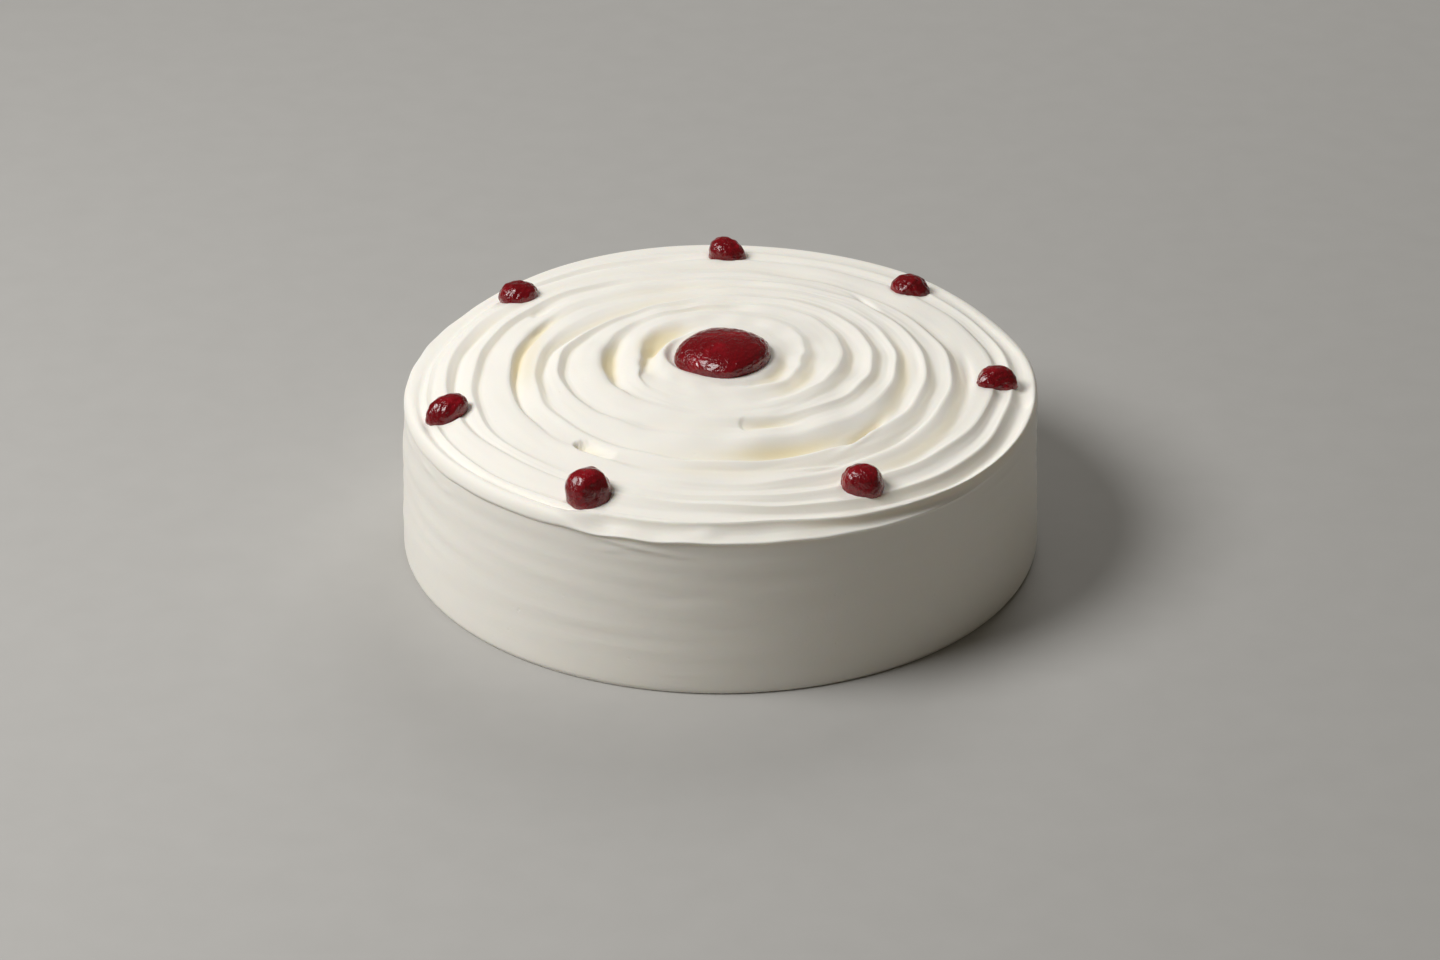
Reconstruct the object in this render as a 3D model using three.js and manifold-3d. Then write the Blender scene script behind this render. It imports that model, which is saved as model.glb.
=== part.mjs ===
// Round cream cake with a swirled top, one large jelly drop in the middle and seven small ones near the rim.
// Millimetres, +Z up, the cake stands on z = 0 with the middle of its outline on the origin.
// Angles are in degrees, counterclockwise seen from above: 0 is the right, 90 the back, 270 the front.
import * as THREE from "three";
import { mergeVertices } from "three/addons/utils/BufferGeometryUtils.js";
import Module from "manifold-3d";

// Body of the cake
const WALL_RADIUS = 119.8;
const FOOT_FLARE = 1.2;
const WALL_SHIFT = 0.8;
const LEAN = 0.4;
const EDGE_RADIUS = 118.8;
const EDGE_HEIGHT = 59;
const EDGE_WAVE = 0.9;
const EDGE_RIPPLE = 0.4;
const WALL_OVAL = 0.0014;
const DOME_TOP = 75;
const DOME_FALL = 9.4;
const RIM_RADIUS = 116.3;
const RIM_WAVE = 0.5;

// Dents in the rim ridge: angle, half length in degrees, how far it sinks, how far it draws in
const RIM_DENTS = [
  { at: 275, reach: 40, sink: 1.7, draw: 0 },
  { at: 157, reach: 17, sink: 3, draw: 1.5 },
];

// Swirl: the ridge between the strokes of the knife is one spiral that grows counterclockwise.
// Each row is a turn, with the radius of the ridge at the front, front right, right, back right,
// back, back left, left and front left.
const SPIRAL = [
  [24, 29, 31.5, 37, 36, 31, 29.5, 36.5],
  [39, 42, 45.5, 49.5, 47, 45, 44.2, 44.5],
  [46, 52, 56.5, 57, 55, 54.5, 60, 60.5],
  [60.5, 63.5, 66.5, 66, 64, 64, 68.5, 73],
  [76.5, 76, 76, 74, 73, 76.5, 78, 83],
  [90.5, 86, 84, 81.5, 82, 87.5, 91, 97],
  [97, 101.5, 100.5, 98, 96, 99, 102, 102],
  [103, 109.5, 108, 107, 106, 107, 109, 112],
  [112, 118, 124, 130, 136, 142, 148, 154],
];
const SPIRAL_START_RATE = 1.6;
const SEAT_RADIUS = 20.5;
const SEAT_DEPTH = 0.8;
const WALL_SLOPE = 1.05;
const FRONT_SHARE_INNER = 0.4;
const FRONT_SHARE_OUTER = 1;
const SMOOTH_RADIUS = 45;
const BACK_SHARE = 0.6;
const RIDGE_UNEVEN = 0.45;
const RIM_REACH = 18;

// Hollows torn by the knife: angle, radius, half length in degrees, half width, depth, outward drift a degree
const HOLLOWS = [
  { at: 172, radius: 74.5, reach: 24, width: 3.6, depth: 2.4, drift: 0.02 },
  { at: 234, radius: 79.5, reach: 4.5, width: 3.6, depth: 3, drift: 0.1 },
  { at: 311, radius: 76, reach: 8, width: 3, depth: 2.6, drift: -0.15 },
  { at: 42, radius: 77, reach: 6, width: 1.8, depth: 1.5, drift: 0.4 },
  { at: 189, radius: 26.5, reach: 30, width: 3, depth: 1.6, drift: 0.06 },
  { at: 183, radius: 41, reach: 24, width: 3, depth: 1.2, drift: 0.02 },
  { at: 351, radius: 114.5, reach: 1.6, width: 5, depth: 1.4, drift: 0 },
];

// Jelly drops: place of the middle, width across and along, height above the cream, turn, share of squareness
const DROPS = [
  { name: "jelly_left", x: -100, y: -32.3, wide: 15.2, deep: 12.2, high: 7.6, turn: 35, square: 0.1 },
  { name: "jelly_back_left", x: -79.2, y: 67.5, wide: 15, deep: 13.4, high: 6.8, turn: 10, square: 0.15 },
  { name: "jelly_back", x: 3.6, y: 105, wide: 14.8, deep: 13.6, high: 8, turn: -15, square: 0.1 },
  { name: "jelly_back_right", x: 75.1, y: 73.1, wide: 14.6, deep: 13.6, high: 7, turn: 0, square: 0 },
  { name: "jelly_right", x: 104, y: -6.2, wide: 15.2, deep: 12.8, high: 6.4, turn: 10, square: 0.1 },
  { name: "jelly_front_right", x: 51.5, y: -87.8, wide: 15.4, deep: 13.2, high: 8.4, turn: -5, square: 0.15 },
  { name: "jelly_front_left", x: -45.8, y: -94.8, wide: 16, deep: 14.2, high: 10.6, turn: 30, square: 0.4 },
];
const CENTRE_DROP = {
  name: "jelly_centre", x: 2.1, y: 0, wide: 36, deep: 35, high: 8.8, turn: 20, square: 0,
};
const DROP_ROOT = 4;
const DROP_SINK = 1.2;
const LUMP_SHARE = 0.035;
const CORNER_SHARE = 0.25;
const SHOULDER_POWER = 0.8;
const GAP = 0.3;

// Fineness of the surfaces
const COLUMNS = 112;
const ROWS_PER_TURN = 4;
const SNAP = 0.7;

const rad = (degrees) => (degrees * Math.PI) / 180;
const mix = (a, b, f) => a + (b - a) * f;
const step = (f) => {
  const c = Math.min(1, Math.max(0, f));
  return c * c * (3 - 2 * c);
};
const bell = (d, width) => Math.exp(-((d / width) ** 2));
const turned = (a, b) => ((((a - b + 180) % 360) + 360) % 360) - 180;

// Radius of the spiral ridge after a number of eighths of a turn, counted from the front
const ridgeList = SPIRAL.flat();
function ridge(eighths) {
  const last = ridgeList.length - 1;
  if (eighths <= 0) return ridgeList[0] + eighths * SPIRAL_START_RATE;
  if (eighths >= last) return ridgeList[last];
  const i = Math.floor(eighths);
  const f = eighths - i;
  const [p, a, b, n] = [i - 1, i, i + 1, i + 2].map((k) => ridgeList[Math.min(last, Math.max(0, k))]);
  return a + 0.5 * f * (b - p + f * (2 * p - 5 * a + 4 * b - n + f * (3 * (a - b) + n - p)));
}

// The rim ridge: radius and height by angle
const dents = (angle, key) =>
  RIM_DENTS.reduce((sum, dent) => sum + dent[key] * bell(turned(angle, dent.at), dent.reach), 0);
const rimRadius = (angle) =>
  RIM_RADIUS + RIM_WAVE * (Math.cos(rad(3 * angle + 40)) + Math.cos(rad(7 * angle))) - dents(angle, "draw");
const domeHeight = (r) => DOME_TOP - DOME_FALL * (r / RIM_RADIUS) ** 2;
const rimHeight = (angle) => domeHeight(rimRadius(angle)) - dents(angle, "sink");

// Share of the full depth that a stroke keeps: all of it at the left and right, less at the front and back
function depthShare(r, angle) {
  const side = Math.abs(Math.cos(rad(angle))) ** 1.4;
  const front = mix(FRONT_SHARE_INNER, FRONT_SHARE_OUTER, step((r - SMOOTH_RADIUS) / 60));
  return mix(Math.sin(rad(angle)) < 0 ? front : BACK_SHARE, 1, side);
}

// Sum of the torn hollows at a point
function hollows(r, angle) {
  return HOLLOWS.reduce((sum, h) => {
    const along = turned(angle, h.at);
    const middle = h.radius + h.drift * along;
    return sum + h.depth * bell(along, h.reach) * bell(r - middle, h.width);
  }, 0);
}

// Height of the top at a radius and angle, between two ridges at radii a and b
function topHeight(r, angle, a, b) {
  const gap = b - a;
  const across = gap > 0 ? Math.min(1, Math.max(0, (r - a) / gap)) : 0;
  const trough = WALL_SLOPE * depthShare(r, angle) * gap * across * (1 - across);
  const near = step((r - RIM_RADIUS + RIM_REACH) / RIM_REACH);
  const sag = near * dents(angle, "sink");
  const uneven = RIDGE_UNEVEN * Math.sin(rad(2 * angle) + r * 0.21) * Math.cos(rad(angle) - r * 0.13);
  return domeHeight(r) - sag - trough - hollows(r, angle) + uneven * (1 - near);
}

// Stations of the outside, from under the rim ridge down to the foot: radius and height by angle
function outside(angle) {
  const ripple = EDGE_RIPPLE * Math.cos(rad(4 * angle));
  const edgeRadius = EDGE_RADIUS + ripple - 0.5 * dents(angle, "draw");
  const edgeHeight = EDGE_HEIGHT + EDGE_WAVE * Math.sin(rad(3 * angle + 20)) + ripple;
  const wall = WALL_RADIUS * (1 + WALL_OVAL * Math.cos(rad(2 * angle - 50)));
  const rimR = rimRadius(angle);
  const rimZ = rimHeight(angle);
  return [
    [mix(rimR, edgeRadius, 0.55), rimZ - 0.9],
    [mix(rimR, edgeRadius, 0.92), mix(rimZ, edgeHeight, 0.5)],
    [edgeRadius, edgeHeight],
    [mix(edgeRadius, wall, 0.75), edgeHeight - 1.2],
    [wall + FOOT_FLARE * 0.4, 32],
    [wall + FOOT_FLARE * 0.8, 8],
    [wall + FOOT_FLARE, 2],
    [wall + FOOT_FLARE * 0.3, 0],
  ];
}

// The whole cake as one closed surface. The rows of the top run along the spiral, so a full turn joins a row
// to the one that lies a turn further out. Rows that reach the seat of the middle drop or the rim end on it.
function cakeGeometry() {
  const points = [];
  const faces = [];
  const add = (r, angle, z) => {
    const lean = LEAN * (0.5 - Math.min(1, z / EDGE_HEIGHT));
    const sideways = (WALL_SHIFT + lean) * step((r - RIM_RADIUS + RIM_REACH) / RIM_REACH);
    points.push(r * Math.cos(rad(angle)) + sideways, r * Math.sin(rad(angle)), z);
    return points.length / 3 - 1;
  };
  const face = (a, b, c) => {
    if (a !== b && b !== c && a !== c) faces.push(a, b, c);
  };
  const strip = (inner, outer) => {
    for (let i = 0; i < COLUMNS; i++) {
      const n = (i + 1) % COLUMNS;
      face(inner[i], outer[i], outer[n]);
      face(inner[i], outer[n], inner[n]);
    }
  };
  const angles = Array.from({ length: COLUMNS }, (_, i) => 270 + (360 * i) / COLUMNS);
  const seatHeight = (r) => domeHeight(r) - SEAT_DEPTH * (1 - step((r - 15) / (SEAT_RADIUS - 15)));
  const seatCore = 11;

  const top = add(0, 0, seatHeight(0));
  const inside = angles.map((angle) => add(seatCore, angle, seatHeight(seatCore)));
  const seat = angles.map((angle) => add(SEAT_RADIUS, angle, seatHeight(SEAT_RADIUS)));
  const rim = angles.map((angle) => add(rimRadius(angle), angle, rimHeight(angle)));
  for (let i = 0; i < COLUMNS; i++) face(top, inside[i], inside[(i + 1) % COLUMNS]);
  strip(inside, seat);

  const rows = (SPIRAL.length + 2) * ROWS_PER_TURN;
  const grid = [];
  for (let j = 0; j <= rows; j++) {
    grid.push(
      angles.map((angle, i) => {
        const turn = Math.floor(j / ROWS_PER_TURN) - 2;
        const share = (j % ROWS_PER_TURN) / ROWS_PER_TURN;
        const eighths = 8 * (turn + i / COLUMNS);
        const a = Math.max(SEAT_RADIUS, ridge(eighths));
        const b = Math.min(rimRadius(angle), ridge(eighths + 8));
        const r = mix(ridge(eighths), ridge(eighths + 8), share);
        if (r <= SEAT_RADIUS + SNAP) return seat[i];
        if (r >= rimRadius(angle) - SNAP) return rim[i];
        return add(r, angle, topHeight(r, angle, a, b));
      }),
    );
  }
  const vertex = (j, i) => (i < COLUMNS ? grid[j][i] : (grid[j + ROWS_PER_TURN] ?? rim)[0]);
  for (let j = 0; j < rows; j++)
    for (let i = 0; i < COLUMNS; i++) {
      face(vertex(j, i), vertex(j + 1, i), vertex(j + 1, i + 1));
      face(vertex(j, i), vertex(j + 1, i + 1), vertex(j, i + 1));
    }

  let above = rim;
  const stations = angles.map((angle) => outside(angle));
  stations[0].forEach((_, s) => {
    const below = angles.map((angle, i) => add(stations[i][s][0], angle, stations[i][s][1]));
    strip(above, below);
    above = below;
  });
  const bottom = add(0, 0, 0);
  for (let i = 0; i < COLUMNS; i++) face(bottom, above[(i + 1) % COLUMNS], above[i]);

  const geometry = new THREE.BufferGeometry();
  geometry.setAttribute("position", new THREE.BufferAttribute(new Float32Array(points), 3));
  geometry.setIndex(faces);
  return geometry;
}

// A drop before its underside is cut: a ball drawn out to an uneven dome, with a root below the cream
function dropGeometry(drop, base, columns, rows) {
  const geometry = new THREE.SphereGeometry(1, columns, rows).rotateX(Math.PI / 2);
  const place = geometry.getAttribute("position");
  for (let i = 0; i < place.count; i++) {
    const around = Math.atan2(place.getY(i), place.getX(i));
    const up = place.getZ(i);
    const side = Math.hypot(place.getX(i), place.getY(i));
    const lumps =
      1 +
      LUMP_SHARE * side * Math.sin(3 * around + drop.turn) +
      LUMP_SHARE * side * Math.cos(5 * around - 4 * up + drop.x);
    const corners = 1 + CORNER_SHARE * drop.square * Math.sin(2 * around) ** 2;
    const reach = lumps * corners * side ** SHOULDER_POWER;
    const across = new THREE.Vector2(Math.cos(around) * drop.wide, Math.sin(around) * drop.deep);
    across.multiplyScalar(reach / 2).rotateAround(new THREE.Vector2(), rad(drop.turn));
    const height = up > 0 ? drop.high : DROP_ROOT;
    place.setXYZ(i, drop.x + across.x, drop.y + across.y, base + up * height);
  }
  return geometry;
}

const wasm = await Module();
wasm.setup();

// From a closed geometry to a solid that can be cut, and back
function toSolid(geometry) {
  geometry.deleteAttribute("normal");
  geometry.deleteAttribute("uv");
  const merged = mergeVertices(geometry);
  return new wasm.Manifold(
    new wasm.Mesh({
      numProp: 3,
      vertProperties: merged.attributes.position.array,
      triVerts: new Uint32Array(merged.index.array),
    }),
  );
}
function toGeometry(solid) {
  const mesh = solid.getMesh();
  const geometry = new THREE.BufferGeometry();
  geometry.setAttribute("position", new THREE.BufferAttribute(mesh.vertProperties, 3));
  geometry.setIndex(new THREE.BufferAttribute(mesh.triVerts, 1));
  geometry.computeVertexNormals();
  return geometry;
}

const cream = { color: 0xf5f0e4, roughness: 0.55, metalness: 0 };
const jelly = { color: 0x6e0a17, roughness: 0.18, metalness: 0 };
const group = new THREE.Group();

// Every piece is moved by the same amount, which brings the middle of the cake's outline to the origin
const cakeShape = cakeGeometry();
cakeShape.computeBoundingBox();
const middle = cakeShape.boundingBox.getCenter(new THREE.Vector3());
function addPiece(name, solid, material) {
  const mesh = new THREE.Mesh(toGeometry(solid), new THREE.MeshStandardMaterial(material));
  mesh.name = name;
  mesh.position.set(-middle.x, -middle.y, 0);
  group.add(mesh);
}

const cake = toSolid(cakeShape);
addPiece("cake", cake, cream);

// The underside of each drop follows the cream at a small gap
const cutter = cake.translate([0, 0, GAP]);
function addDrop(drop, sink, columns, rows) {
  const base = domeHeight(Math.hypot(drop.x, drop.y)) - sink;
  const whole = toSolid(dropGeometry(drop, base, columns, rows));
  const bodies = whole.subtract(cutter).decompose();
  bodies.sort((a, b) => b.volume() - a.volume());
  addPiece(drop.name, bodies[0], jelly);
}
addDrop(CENTRE_DROP, SEAT_DEPTH, 36, 12);
DROPS.forEach((drop) => addDrop(drop, DROP_SINK, 18, 9));

export default group;
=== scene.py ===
"""Rose cake: a round white cream cake with a knife swirled top and glossy dark red jelly drops.

The surfaces are worked out in millimetres and put into the scene in metres, +Z up. The cake stands on z = 0
with the middle of its outline on the origin. Angles are in degrees, counterclockwise seen from above: 0 is
the right, 90 the back, 180 the left and 270 the front.
"""

import math

import bpy
import numpy as np
from bpy.props import FloatProperty, FloatVectorProperty, PointerProperty
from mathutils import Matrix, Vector


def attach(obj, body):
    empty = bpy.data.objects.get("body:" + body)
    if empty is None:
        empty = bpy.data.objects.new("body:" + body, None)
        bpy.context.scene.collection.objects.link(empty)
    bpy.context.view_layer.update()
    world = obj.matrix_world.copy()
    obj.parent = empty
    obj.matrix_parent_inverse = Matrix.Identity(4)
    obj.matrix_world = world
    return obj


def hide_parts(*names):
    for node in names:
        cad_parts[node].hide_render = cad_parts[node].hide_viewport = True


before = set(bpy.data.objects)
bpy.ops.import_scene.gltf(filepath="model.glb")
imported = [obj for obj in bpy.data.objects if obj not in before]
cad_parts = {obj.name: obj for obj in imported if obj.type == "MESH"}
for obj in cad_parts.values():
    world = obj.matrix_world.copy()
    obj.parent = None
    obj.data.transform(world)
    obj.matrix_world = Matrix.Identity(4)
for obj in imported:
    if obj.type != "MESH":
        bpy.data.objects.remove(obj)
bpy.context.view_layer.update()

bl_info = {
    "name": "Rose Cake",
    "version": (1, 0, 0),
    "blender": (4, 5, 0),
    "location": "3D View > Sidebar > Rose Cake",
    "description": "Makes a cream cake with a swirled top, its jelly drops and a plain studio round it",
    "category": "Add Mesh",
}

MM = 0.001
SEED = 11

# Body of the cake: its upright wall, the crisp edge on top of that, and the foot, which flares out a little.
# The wall draws in under the edge, more under a lip. Fades are shares of the way down the wall.
WALL_RADIUS = 119.8
WALL_OVAL = 0.0014
OVAL_TURN = 50
WALL_SHIFT = 0.8
WALL_INSET = 0.35
WALL_DRAG = 0.09
DRAG_FADE = (0.08, 0.25)
SMEAR_FADE = 0.1
LEAN = 0.4
FOOT_FLARE = 1.2
FLARE_SHARE = 0.45
FOOT_HEIGHT = 2.0
FOOT_ROUND = 0.7
EDGE_HEIGHT = 60.6
EDGE_THICK = 0.8
EDGE_INSET = 0.3
EDGE_WAVE = 0.5
EDGE_RIPPLE = 0.4
EDGE_FRAY = 0.25
EDGE_DRAW = 0.75
DRAW_FADE = 0.35
UNDER_EDGE = 0.1
UNDER_LIP = 1.1
UNDER_DEPTH = 0.35

# Domed top and the ridge round its rim, with a shoulder between that and the edge
DOME_TOP = 75.0
DOME_FALL = 9.4
RIM_RADIUS = 116.3
RIM_WAVE = 0.5
RIM_REACH = 18.0
RIM_CALM = 1.5
SHOULDER_CURVE = 0.9

# Dents in the rim ridge: angle, half length in degrees, how far it sinks, how far it draws in, and how far
# from the rim the cream starts to sink
RIM_DENTS = [
    (275, 40, 0.6, 0.0, 18),
    (161, 26, 4.8, 3.2, 12),
    (25, 14, 1.5, 0.8, 12),
    (328, 26, 0.8, -2.4, 8),
]
SINKS, DRAWS = 2, 3

# Ledge under the rim ridge, where the last stroke runs down over the edge. A stretch of the rim is given as
# the angles where it starts, is full, starts to fade and ends. The ledge lies under a steep step, which
# turns into a hollow between two angles, and the rim ridge is drawn in over the step. Yellow painted shade
# lies down the ledge at a place with a spread, weaker on the step than in the hollow.
LEDGE = (241, 251, 305, 332)
LEDGE_STANDS = 0.4
LEDGE_TURN = (275, 295)
LEDGE_CURVE = 1.5
LEDGE_SHADE = 2.0
LEDGE_SHADE_PLACE = (0.35, 0.3)
STEP = (239, 250, 277, 296)
STEP_DRAW = 3.6
STEP_START = 0.15
STEP_ROOM = 0.4
STEP_SHARE = 0.82
STEP_SHADE = 0.2

# Tongue of cream on the step: angle, half length in degrees, place down the shoulder, half width and height
TONGUE = (268, 2.6, 0.4, 0.2, 1.3)

# Swirl: the ridge between the strokes of the knife is one spiral that grows counterclockwise. Each row is a
# turn, with the radius of the ridge at the front, front right, right, back right, back, back left, left and
# front left. The last turn runs out over the rim.
SPIRAL = np.array([
    [24, 29.5, 31.5, 36.8, 36, 34.5, 29.2, 36],
    [39, 41, 46, 50.4, 46.5, 45, 44.4, 44.5],
    [46, 52.5, 57.7, 58.8, 54, 53, 60.0, 60.3],
    [61, 65, 66.6, 67.5, 64, 64, 68.5, 73],
    [77, 77.3, 78.0, 75.0, 73, 76.5, 78.3, 83],
    [90.5, 88.2, 87.2, 83.6, 82, 88, 92, 97],
    [97, 101.2, 103.2, 99.5, 97, 100, 102.3, 101.5],
    [102.5, 110.3, 109.5, 107.5, 106, 107, 110, 112.5],
    [112, 118, 124, 127, 127, 127, 127, 127],
])

# Depth of the strokes at the same places, from the one round the middle drop outwards, and where the lowest
# line of each lies between its inner ridge at 0 and its outer ridge at 1
DEPTH = np.array([
    [0.2, 1.3, 1.2, 0.4, 0.8, 2.8, 1.9, 0.4],
    [0.2, 0.9, 1.9, 0.6, 1.3, 0.9, 3.4, 0.5],
    [0.3, 1.0, 2.0, 0.8, 0.8, 0.9, 2.2, 1.0],
    [1.0, 1.3, 1.8, 0.8, 1.0, 1.9, 1.8, 1.0],
    [2.0, 1.8, 1.9, 0.2, 1.0, 0.9, 2.9, 0.4],
    [1.9, 1.2, 1.7, 0.5, 0.8, 1.3, 2.0, 0.5],
    [0.6, 1.9, 2.2, 1.4, 1.2, 1.2, 2.1, 0.6],
    [0.8, 1.5, 1.7, 0.9, 1.0, 1.2, 1.1, 0.9],
    [1.6, 3.3, 1.9, 0.8, 0.8, 1.0, 1.1, 2.2],
    [3.8, 1.4, 0.5, 0.5, 0.5, 0.5, 0.5, 0.5],
])
CREASE = np.array([
    [0.5, 0.65, 0.5, 0.5, 0.6, 0.3, 0.8, 0.85],
    [0.5, 0.65, 0.36, 0.3, 0.75, 0.75, 0.66, 0.8],
    [0.5, 0.5, 0.43, 0.4, 0.6, 0.72, 0.8, 0.84],
    [0.4, 0.3, 0.46, 0.4, 0.4, 0.22, 0.55, 0.84],
    [0.7, 0.8, 0.36, 0.5, 0.6, 0.6, 0.74, 0.8],
    [0.25, 0.7, 0.36, 0.3, 0.5, 0.78, 0.76, 0.88],
    [0.4, 0.7, 0.25, 0.2, 0.5, 0.5, 0.64, 0.7],
    [0.5, 0.5, 0.35, 0.35, 0.5, 0.7, 0.7, 0.85],
    [0.25, 0.45, 0.4, 0.4, 0.5, 0.6, 0.5, 0.5],
    [0.28, 0.5, 0.5, 0.5, 0.5, 0.5, 0.5, 0.5],
])

# How many millimetres the spiral draws in for each eighth of a turn before its first row, and the section of
# a stroke: how its inner and outer sides curve, how round its ridge is, the width from which it has its full
# depth, and how much yellow painted shade its dark side, the wall facing away from the key light, gets and
# over what share of the width that fades
SPIRAL_START_RATE = 1.6
INNER_CURVE = (1.2, 0.1)
OUTER_CURVE = (1.6, 0.5)
CREST_ROUND = 0.08
FULL_STROKE = 5
PAINTED_SHADE = 0.8
PAINTED_SHADE_WIDTH = 0.2

# Ridge between the strokes: how it wavers, and how its height rises and falls
RIDGE_WAVER = 0.16
RIDGE_WAVES = [(2.9, 0.4), (4.3, 2.0), (7.1, 4.1), (11.3, 1.2), (15.7, 5.0)]
RIDGE_UNEVEN = 0.45
UNEVEN_PITCH = (0.21, 0.13)
SWAY = 0.2

# Fine lines along a stroke: how many lie side by side, their height, how far they swing, and the width of a
# full stroke
LINE_COUNTS = (2, 3, 4, 5, 7)
LINE_HEIGHT = 0.07
LINE_SWING = 2.2
LINE_STROKE = 8

# Seat of the middle drop, and the groove at its left
SEAT_RADIUS = 20.5
SEAT_DEPTH = 0.8
SEAT_FLOOR_RADIUS = 15.0
SEAT_RISE = 4
GROOVE_DEPTH = 2.6
GROOVE_RADIUS = 17.5
GROOVE_DRIFT = 0.05
GROOVE_WALL = 2.8
GROOVE_MIDDLE = 174
GROOVE_HALF = 40

# Hollows torn by the knife: angle, radius, half length in degrees, half width, depth, outward drift a
# degree.
# Their depth is also laid into the cream's colour as yellow painted shade.
HOLLOWS = [
    (172, 75.3, 22, 1.8, 0.9, 0.02),
    (157, 25.8, 14, 2.0, 1.2, 0.0),
    (155, 75.5, 7, 1.6, 1.4, 0.1),
    (43, 78.9, 5, 1.3, 1.2, 0.3),
    (315, 75.2, 9, 1.9, 2.4, -0.22),
    (291, 51.5, 10, 2.6, 1.6, 0.1),
    (189, 26.5, 30, 3.0, 1.6, 0.06),
    (150, 29.5, 24, 3.5, 1.2, 0.0),
    (183, 41.0, 24, 3.0, 1.2, 0.02),
    (325, 34.0, 24, 6.0, 1.4, 0.0),
    (332, 24.0, 28, 4.0, 1.3, 0.0),
    (290, 70.5, 14, 5.0, 1.7, 0.1),
    (313, 87.0, 12, 1.8, 0.8, 0.0),
    (112, 67.0, 20, 9.0, 1.0, 0.0),
    (112, 102.0, 16, 4.0, 0.8, 0.0),
    (2, 75.2, 10, 0.9, 0.5, 0.0),
    (0, 94.2, 9, 1.3, 1.6, 0.0),
    (351, 114.5, 1.6, 5.0, 1.4, 0.0),
]

# Patches painted darker yellow into the cream's colour: angle, radius, half length in degrees, half width,
# how much, and outward drift a degree. Near the rim the yellow fades, the painted shade with it.
YELLOW_PATCHES = [
    (176, 71.0, 22, 4.5, 2.4, 0.02),
    (148, 31.0, 24, 4.0, 1.4, 0.0),
    (186, 43.0, 12, 2.6, 1.6, 0.0),
    (290, 71.0, 16, 4.0, 1.0, 0.05),
    (0, 71.5, 16, 4.0, 1.2, 0.0),
    (100, 47.0, 22, 4.0, 0.8, 0.0),
    (70, 66.0, 20, 5.0, 0.8, 0.0),
]
PALE_FROM = 96.0
PALE_REACH = 10
PALE_SHARE = 0.8

# Gouges with a crisp round start, from which they rise slowly: angle of the start, radius, length in degrees
# (below 0 for clockwise), half width, depth, outward drift a degree
GOUGES = [
    (229.5, 79.8, 13, 2.9, 4.0, 0.12),
    (278.5, 51.0, 30, 4.4, 0.6, 0.05),
    (148.5, 83.8, -14, 2.4, 1.4, -0.1),
]
GOUGE_START = 1.3
GOUGE_ROUND = 1.8
# Share of a gouge's depth laid into the cream's colour as yellow painted shade
GOUGE_SHADE = 0.6
GOUGE_FRAY = 0.6

# Thin flaps of cream dragged up by the knife: angle, radius, half length in degrees, half width, height, and
# outward drift a degree
FLAPS = [
    (315, 77.6, 10, 0.9, 1.0, -0.27),
    (294, 85.5, 5, 0.8, 0.9, 0.25),
    (243, 84.6, 8, 1.6, 0.8, 0.12),
    (268, 115.0, 3.5, 1.0, 2.4, 0.4),
]

# Smears on the wall: angle, height, half length in degrees, half width, how far they stand out, and rise a
# degree
SMEARS = [
    (257.5, 57.3, 8, 0.7, 0.65, -0.245),
    (251, 55.6, 3, 0.6, 0.35, 0.1),
    (281, 52.8, 7, 0.7, 0.175, 0.0),
    (207, 55.5, 3, 1.1, 0.35, -0.1),
    (214, 54.0, 2, 0.9, 0.3, 0.2),
    (196, 56.0, 3, 1.2, 0.3, 0.0),
    (330, 55.0, 6, 0.8, 0.25, 0.1),
    (75, 54.5, 8, 0.8, 0.25, 0.05),
    (120, 55.5, 5, 0.9, 0.3, 0.0),
    (160, 54.0, 6, 0.8, 0.3, 0.1),
    (262, 38.0, 7, 1.6, -0.175, 0.15),
    (286, 30.0, 9, 1.8, -0.15, 0.1),
    (245, 24.0, 8, 1.6, 0.15, -0.1),
    (300, 44.0, 7, 1.5, 0.15, 0.2),
    (275, 16.0, 10, 1.8, 0.15, 0.1),
]

# Thin lips where the edge stands out over the wall: angle and half length in degrees
LIPS = [(225, 12), (246, 9), (262, 7), (160, 14)]
LIP_STANDS = 0.45

# Jelly drops: place of the middle, width, depth, height above the base sunk in the cream, turn, share of
# squareness, and how far the top leans to the right and to the back
DROPS = {
    "jelly_left": (-99.8, -32.0, 17.2, 12.2, 7.6, 38, 0.2, 0.8, 1.0),
    "jelly_back_left": (-78.4, 66.4, 15.2, 13.2, 6.6, 14, 0.15, 0.6, 0.0),
    "jelly_back": (3.6, 103.6, 14.8, 13.0, 8.4, -15, 0.0, -1.0, 0.0),
    "jelly_back_right": (75.1, 73.1, 14.6, 13.6, 6.6, 0, 0.0, 0.0, 0.0),
    "jelly_right": (104, -6.0, 15.6, 12.6, 6.4, 4, 0.15, 0.3, 0.0),
    "jelly_front_right": (51.5, -87.8, 15.4, 13.2, 8.4, -5, 0.25, -0.5, 0.0),
    "jelly_front_left": (-45.6, -94.6, 15.6, 13.8, 10.6, 34, 0.6, -0.8, 0.6),
}
CENTRE_DROP = (2.1, -1.0, 36.6, 36.4, 8.7, 20, 0.0, 0.0, 0.0)

# How deep the drops reach and sink into the cream, their lumps and grain, the powers of their outline and
# how much a square one changes them, and how they press the cream round them
DROP_ROOT = 4.0
DROP_SINK = 1.2
DROP_LUMPS = 0.07
DROP_GRAIN = 0.13
CENTRE_GRAIN = 0.09
DROP_POWER = 0.85
SQUARE_POWER = 0.25
SQUARE_CORNERS = 0.2
SQUARE_TOP = 0.35
PRESS_DEPTH = 0.9
PRESS_REACH = 1.2
PRESS_SOFT = 0.3

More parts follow.
